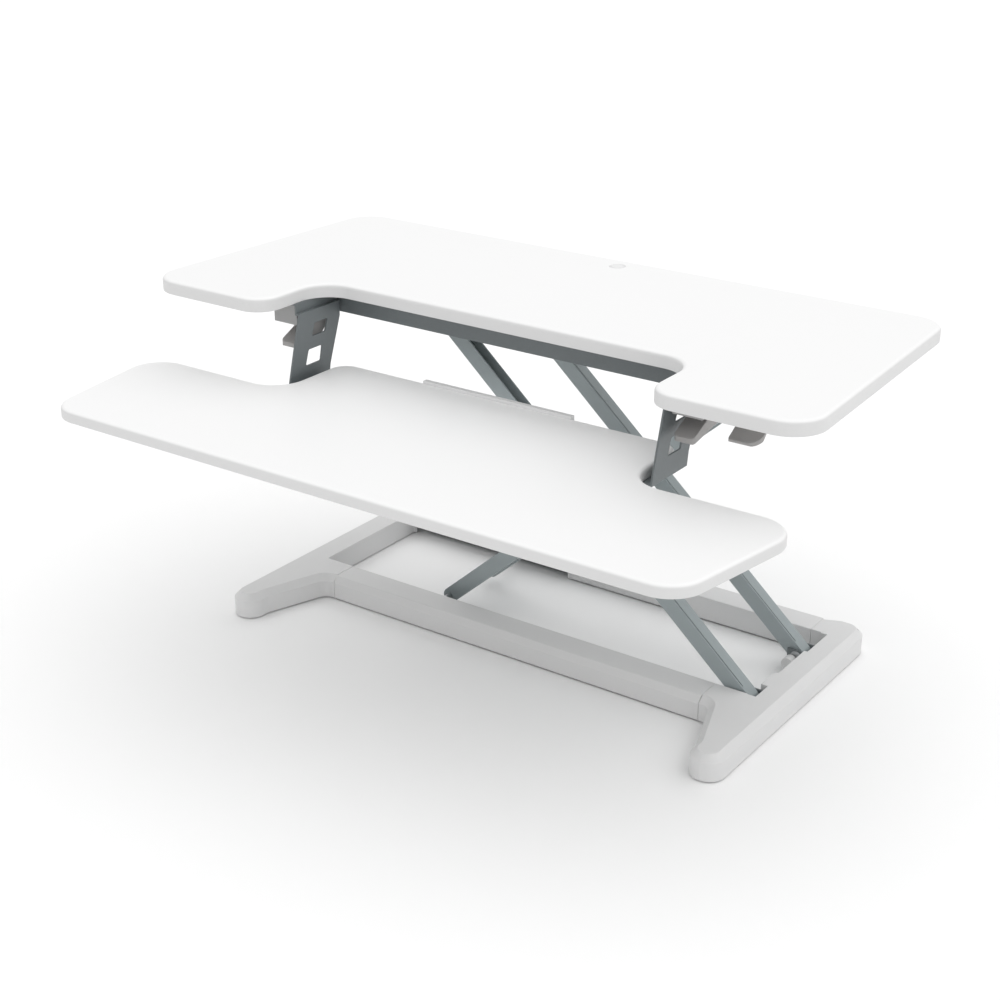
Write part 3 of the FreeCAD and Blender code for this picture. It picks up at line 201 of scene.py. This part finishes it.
def turnedMetal(name, colour, rough, scales, depth=0.01 * mm):     # scales draw the tool lines out
    look = {"lines": 900.0, "stain": 60.0, "stainGain": 0.7, "lineGain": 1.25}
    material, tree = newMaterial(name)
    lines = tree.noise(look["lines"], 3.0, 0.6, at=tree.stretched(scales))
    stain = tree.noise(look["stain"], 3.0)
    toned = tree.mix(tree.spread(stain, 0.0, 0.4), tint(colour), tint(colour, look["stainGain"]))
    streaked = tree.mix(tree.spread(lines, 0.0, 0.3), toned, tint(colour, look["lineGain"]))
    roughness = tree.spread(lines, rough - 0.06, rough + 0.08) + tree.spread(stain, -0.03, 0.05)
    bump = bumpFrom(tree, lines, depth, 0.5)
    finishWith(tree, {"IOR": 2.0}, **{"Base Color": streaked, "Roughness": roughness, "Metallic": 1.0,
                                      "Normal": bump})
    return material


finishes = {
    "white_laminate": laminateWithPaintedShade(),
    "plug_plastic": mouldedPlastic("plugPlastic", "#ececec", "#dadada", rough=0.42),
    "cover_plastic": mouldedPlastic("coverPlastic", "#e0e0e0", "#d6d6d6"),
    "arm_paint": powderCoat("armPaint", "#9ba4a6", "#8e9799"),
    "rail_paint": powderCoat("railPaint", "#6c7274", "#616769"),
    "bare_steel": turnedMetal("bareSteel", "#b9bbbd", 0.34, (1.0, 0.05, 1.0)),
    "lever_plastic": mouldedPlastic("leverPlastic", "#a9a7a6", "#9b9998", rough=0.42),
    "housing_plastic": mouldedPlastic("housingPlastic", "#a6a6a6", "#999999", rough=0.48),
    "roller_nylon": mouldedPlastic("rollerNylon", "#e9e8e2", "#dbdad2", 900.0, rough=0.4),
    "bush_polymer": mouldedPlastic("bushPolymer", "#2b2b2c", "#1f1f20", 1200.0, rough=0.42),
    "foot_rubber": mouldedPlastic("footRubber", "#1e1e1e", "#151515", 700.0, 0.12 * mm, 0.75),
    "gas_black": powderCoat("gasBlack", "#17181a", "#0f1011", 0.02 * mm),
    "gas_chrome": turnedMetal("gasChrome", "#d8dadc", 0.10, (0.04, 1.0, 1.0), 0.004 * mm),
}
print("finishes made:", len(finishes))


def settle(piece):                # live modifiers become plain mesh
    graph = bpy.context.evaluated_depsgraph_get()
    made = bpy.data.meshes.new_from_object(piece.evaluated_get(graph), preserve_all_data_layers=True,
                                           depsgraph=graph)
    piece.modifiers.clear()
    piece.data = made
    return piece


def linked(name, mesh):
    piece = bpy.data.objects.new(name, mesh)
    scene.collection.objects.link(piece)
    return piece


def cleanCopy(node, name):
    piece = linked(name, nodes[node].data.copy())
    work = bmesh.new()
    work.from_mesh(piece.data)
    bmesh.ops.remove_doubles(work, verts=work.verts, dist=weldGap)
    bmesh.ops.dissolve_limit(work, angle_limit=math.radians(0.5), verts=work.verts, edges=work.edges)
    work.to_mesh(piece.data)
    work.free()
    return piece


def soften(piece, radius, segments=2, sharp=35.0):     # rounds the edges and keeps flat faces flat
    piece.data.shade_smooth()
    piece.data.set_sharp_from_angle(angle=math.radians(sharp))
    if radius:
        bevel = piece.modifiers.new("roundedEdges", "BEVEL")
        bevel.width = radius * mm
        bevel.segments = segments
        bevel.limit_method = "ANGLE"
        bevel.angle_limit = math.radians(sharp)
        bevel.use_clamp_overlap = False
    weigh = piece.modifiers.new("flatNormals", "WEIGHTED_NORMAL")
    weigh.keep_sharp = True
    return settle(piece)


def dressed(piece, node, body=None):
    piece.data.materials.clear()
    piece.data.materials.append(finishes[slotOf[node]])
    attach(piece, body or bodyOf[node])
    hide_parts(node)
    return piece


def islandsOf(node):              # lowest and highest corner of each loose solid in a node
    work = bmesh.new()
    work.from_mesh(nodes[node].data)
    bmesh.ops.remove_doubles(work, verts=work.verts, dist=weldGap)
    left = set(work.verts)
    found = []
    while left:
        reach = [left.pop()]
        group = []
        while reach:
            vert = reach.pop()
            group.append(vert.co.copy())
            near = [edge.other_vert(vert) for edge in vert.link_edges]
            reach += [v for v in near if v in left]
            left -= set(near)
        low = Vector([min(co[i] for co in group) for i in range(3)])
        high = Vector([max(co[i] for co in group) for i in range(3)])
        found.append((low, high))
    work.free()
    return sorted(found, key=lambda corners: tuple(corners[0]))


edgeRounding = {                  # radius in millimetres on the edges of each formed piece
    "worksurface": 0.6, "keyboard_tray": 1.0, "desktop_plug": 0.4, "tray_rear_stop": 0.6,
    "left_foot_cover": 0.6, "right_foot_cover": 0.6, "front_beam_cover": 1.0, "rear_beam_cover": 1.0,
    "front_base_track": 0.5, "rear_base_track": 0.5, "base_spine_bars": 0.4, "base_crossbars": 0.6,
    "front_arm_lug": 0.25, "rear_arm_lug": 0.25, "arm_bumper": 0.5, "track_end_stops": 0.8,
    "rubber_feet": 0.4, "base_pivot_pins": 0.4,
    "front_main_arm": 0.35, "rear_main_arm": 0.35, "front_counter_arm": 0.35, "rear_counter_arm": 0.35,
    "main_arm_cross_tubes": 0.0, "counter_arm_lower_tube": 0.0, "counter_arm_torque_tube": 0.0,
    "upper_roller_axles": 0.3, "lower_roller_axles": 0.3, "centre_washers": 0.3,
    "main_arm_bushes": 0.2, "counter_arm_bushes": 0.2,
    "gas_spring_crank": 0.25, "crank_pin": 0.3, "gas_spring_pin": 0.3, "gas_spring_bracket": 0.25,
    "gas_spring_rod": 0.25, "gas_spring_cylinder": 0.7,
    "front_top_rail": 0.5, "rear_top_rail": 0.5, "deck_pivot_lugs": 0.4, "deck_pivot_pins": 0.4,
    "left_tray_bracket": 0.25, "right_tray_bracket": 0.25, "left_lever_housing": 0.3,
    "right_lever_housing": 0.3, "paddle_bracket": 0.3, "lever_hinge_pins": 0.3,
    "left_grip_lever": 0.5, "right_grip_lever": 0.5, "lock_paddle": 0.5,
    "upper_roller_front": 0.25, "upper_roller_rear": 0.25,
    "lower_roller_front": 0.25, "lower_roller_rear": 0.25,
}

for node, radius in edgeRounding.items():
    dressed(soften(cleanCopy(node, node + "_part"), radius), node)
print("formed pieces:", len(edgeRounding))


def newGrowth(name, inputs):      # a Geometry Nodes tree with named inputs
    group = bpy.data.node_groups.new(name, "GeometryNodeTree")
    group.interface.new_socket("Geometry", in_out="INPUT", socket_type="NodeSocketGeometry")
    for label, (kind, value) in inputs.items():
        socket = group.interface.new_socket(label, in_out="INPUT", socket_type=kind)
        socket.default_value = value
    group.interface.new_socket("Geometry", in_out="OUTPUT", socket_type="NodeSocketGeometry")
    tree = Tree(group)
    entry = group.nodes.new("NodeGroupInput")
    return group, tree, {socket.name: Wire(tree, socket) for socket in entry.outputs if socket.name}


def closeGrowth(tree, geometry, material):
    real = tree.node("GeometryNodeRealizeInstances", None, {0: geometry})
    painted = tree.node("GeometryNodeSetMaterial", None, {"Geometry": real, "Material": material})
    tree.node("NodeGroupOutput", None, {0: painted})


def grow(name, points, group, sizes):
    mesh = bpy.data.meshes.new(name)
    mesh.from_pydata([tuple(point) for point in points], [], [])
    piece = linked(name, mesh)
    modifier = piece.modifiers.new(name, "NODES")
    modifier.node_group = group
    identifiers = {item.name: item.identifier for item in group.interface.items_tree
                   if item.item_type == "SOCKET" and item.in_out == "INPUT"}
    for label, value in sizes.items():
        modifier[identifiers[label]] = value
    return settle(piece)


def screwGrowth():                # a low head with a hexagon socket below a plain shank, at each point
    look = {"taper": 0.82, "socketShare": 0.5, "socketDrop": -0.35, "overlap": 0.9}
    floats = {"headRadius": 4.5 * mm, "headHeight": 2.0 * mm, "shankRadius": 2.5 * mm,
              "shankLength": 9.0 * mm}
    inputs = {label: ("NodeSocketFloat", value) for label, value in floats.items()}
    group, tree, given = newGrowth("screws", inputs)

    def moved(mesh, height):
        rise = tree.node("ShaderNodeCombineXYZ", None, {"Z": height})
        return tree.node("GeometryNodeTransform", None, {"Geometry": mesh, "Translation": rise})

    head = tree.node("GeometryNodeMeshCone", None,
                     {"Vertices": 28, "Radius Top": given["headRadius"],
                      "Radius Bottom": given["headRadius"] * look["taper"], "Depth": given["headHeight"]})
    hexagon = tree.node("GeometryNodeMeshCylinder", None,
                        {"Vertices": 6, "Radius": given["headRadius"] * look["socketShare"],
                         "Depth": given["headHeight"]})
    socketed = tree.node("GeometryNodeMeshBoolean", {"operation": "DIFFERENCE"},
                         {"Mesh 1": head, "Mesh 2": moved(hexagon, given["headHeight"] * look["socketDrop"])})
    shank = tree.node("GeometryNodeMeshCylinder", None,
                      {"Vertices": 20, "Radius": given["shankRadius"], "Depth": given["shankLength"]})
    raised = moved(shank, given["shankLength"] * 0.5 + given["headHeight"] * look["overlap"])
    seated = moved(socketed, given["headHeight"] * 0.5)
    screw = tree.node("GeometryNodeJoinGeometry", None, {0: [seated, raised]})
    placed = tree.node("GeometryNodeInstanceOnPoints", None, {"Points": given["Geometry"], "Instance": screw})
    closeGrowth(tree, placed, finishes["bare_steel"])
    return group


screwKinds = {"top_frame_screws": 1.0, "tray_screws": 2.0, "base_screws": 2.4}      # head heights


def makeScrews():
    group = screwGrowth()
    for node, headHeight in screwKinds.items():
        solids = islandsOf(node)
        seats = [((low.x + high.x) / 2, (low.y + high.y) / 2, low.z) for low, high in solids]
        low, high = solids[0]
        sizes = {"headHeight": headHeight * mm, "shankLength": high.z - low.z - headHeight * mm}
        piece = grow(node + "_set", seats, group, sizes)
        dressed(soften(piece, 0), node)


makeScrews()


def springGrowth():               # wound wire along X, with a straight leg at each end
    floats = {"coilRadius": 3.2 * mm, "wireRadius": 0.5 * mm, "coilLength": 2.6 * mm,
              "legLength": 9.0 * mm, "turns": 3.0}
    inputs = {label: ("NodeSocketFloat", value) for label, value in floats.items()}
    group, tree, given = newGrowth("returnSprings", inputs)
    wound = tree.node("GeometryNodeCurveSpiral", None,
                      {"Resolution": 24, "Rotations": given["turns"], "Start Radius": given["coilRadius"],
                       "End Radius": given["coilRadius"], "Height": given["coilLength"]})
    legs = []
    for share in (0.0, 1.0):
        along = given["coilLength"] * share
        start = tree.node("ShaderNodeCombineXYZ", None, {"X": given["coilRadius"], "Z": along})
        end = tree.node("ShaderNodeCombineXYZ", None,
                        {"X": given["coilRadius"], "Y": given["legLength"] * (1.0 - 2.0 * share),
                         "Z": along})
        legs.append(tree.node("GeometryNodeCurvePrimitiveLine", None, {"Start": start, "End": end}))
    path = tree.node("GeometryNodeJoinGeometry", None, {0: [wound, *legs]})
    ring = tree.node("GeometryNodeCurvePrimitiveCircle", None,
                     {"Resolution": 10, "Radius": given["wireRadius"]})
    wire = tree.node("GeometryNodeCurveToMesh", None,
                     {"Curve": path, "Profile Curve": ring, "Fill Caps": True})
    laid = tree.node("GeometryNodeTransform", None,
                     {"Geometry": wire, "Rotation": (0.0, math.radians(90), 0.0)})
    placed = tree.node("GeometryNodeInstanceOnPoints", None, {"Points": given["Geometry"], "Instance": laid})
    closeGrowth(tree, placed, finishes["bare_steel"])
    return group


def makeSprings():
    turns = 3
    rings = islandsOf("lever_return_springs")
    wire = (rings[0][1].x - rings[0][0].x) / 2
    coils = [rings[i:i + turns] for i in range(0, len(rings), turns)]
    starts = []
    for coil in coils:
        low, high = coil[0]
        starts.append((low.x + wire, (low.y + high.y) / 2, (low.z + high.z) / 2))
    first = coils[0]
    sizes = {"wireRadius": wire, "coilLength": first[-1][1].x - first[0][0].x - 2 * wire,
             "coilRadius": (first[0][1].z - first[0][0].z) / 2 - wire, "turns": float(turns)}
    piece = grow("lever_return_springs_set", starts, springGrowth(), sizes)
    dressed(soften(piece, 0), "lever_return_springs")


makeSprings()


def prism(work, x, y, z, radius, length, sides=6):      # runs along Y from y
    turn = Matrix.Rotation(math.radians(90), 4, "X")
    place = Matrix.Translation((x, y + length / 2, z)) @ turn
    bmesh.ops.create_cone(work, cap_ends=True, segments=sides, radius1=radius, radius2=radius,
                          depth=length, matrix=place)


def makeCentreBolts():            # a round head outside, a hexagon nut and a short thread end inside
    look = {"headHeight": 3.0 * mm, "headRadius": 8.0 * mm, "nutHeight": 5.0 * mm, "nutRadius": 8.2 * mm,
            "threadEnd": 1.0 * mm, "shaftRadius": 5.0 * mm, "shaftInset": 0.5 * mm}
    work = bmesh.new()
    middleY = sum(corner.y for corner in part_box("centre_pivot_bolts")) / 2
    for low, high in islandsOf("centre_pivot_bolts"):
        x, z = (low.x + high.x) / 2, (low.z + high.z) / 2
        outward = -1 if (low.y + high.y) / 2 < middleY else 1
        outer = low.y if outward < 0 else high.y
        inner = high.y if outward < 0 else low.y
        prism(work, x, low.y + look["shaftInset"], z, look["shaftRadius"],
              high.y - low.y - 2 * look["shaftInset"], 28)
        headStart = outer if outward < 0 else outer - look["headHeight"]
        prism(work, x, headStart, z, look["headRadius"], look["headHeight"], 36)
        nutDeep = look["nutHeight"] + look["threadEnd"]
        nutStart = inner - nutDeep if outward < 0 else inner + look["threadEnd"]
        prism(work, x, nutStart, z, look["nutRadius"], look["nutHeight"])
    mesh = bpy.data.meshes.new("centre_pivot_bolts_set")
    work.to_mesh(mesh)
    work.free()
    dressed(soften(linked("centre_pivot_bolts_set", mesh), 0.6, 3), "centre_pivot_bolts")


makeCentreBolts()
print("fasteners and springs made")


def makeStage():
    look = {"size": 40.0, "tone": "#fefefe", "haze": "#fafafa", "hazeScale": 0.8, "sky": 0.66}
    material, tree = newMaterial("paleFloor")
    haze = tree.noise(look["hazeScale"], 2.0)
    colour = tree.mix(tree.spread(haze, 0.0, 0.5), tint(look["tone"]), tint(look["haze"]))
    finishWith(tree, {"Roughness": 0.9, "Specular IOR Level": 0.0}, **{"Base Color": colour})
    mesh = bpy.data.meshes.new("floor")
    half = look["size"] / 2
    corners = [(-half, -half, 0), (half, -half, 0), (half, half, 0), (-half, half, 0)]
    mesh.from_pydata(corners, [], [(0, 1, 2, 3)])
    mesh.materials.append(material)
    floor = linked("floor", mesh)
    world = bpy.data.worlds.new("studio")
    scene.world = world
    world.use_nodes = True
    backdrop = world.node_tree.nodes["Background"]
    backdrop.inputs["Color"].default_value = (1.0, 1.0, 1.0, 1.0)
    backdrop.inputs["Strength"].default_value = look["sky"]


def makeKeyLight():               # one broad soft light, high and to the right
    look = {"power": 1.42, "spread": 110.0, "from": (0.3, 0.1, 1.5)}
    light = bpy.data.lights.new("softKey", "SUN")
    light.energy = look["power"]
    light.angle = math.radians(look["spread"])
    lamp = linked("softKey", light)
    lamp.rotation_euler = Vector(look["from"]).to_track_quat("Z", "Y").to_euler()


def makeCamera():
    view = {"azimuth": 35.3, "elevation": 23.4, "distance": 2.2474, "aim": (0.0, 0.0128, 0.2296),
            "lens": 63.65, "sensor": 36.0}
    around, above = math.radians(view["azimuth"]), math.radians(view["elevation"])
    back = Vector((math.sin(around) * math.cos(above), -math.cos(around) * math.cos(above), math.sin(above)))
    camera = linked("camera", bpy.data.cameras.new("camera"))
    camera.data.lens = view["lens"]
    camera.data.sensor_width = view["sensor"]
    camera.data.clip_end = 50.0
    camera.location = Vector(view["aim"]) + back * view["distance"]
    camera.rotation_euler = (-back).to_track_quat("-Z", "Y").to_euler()
    scene.camera = camera


makeStage()
makeKeyLight()
makeCamera()
scene.view_settings.view_transform = "Standard"
print("stage, light and camera set")
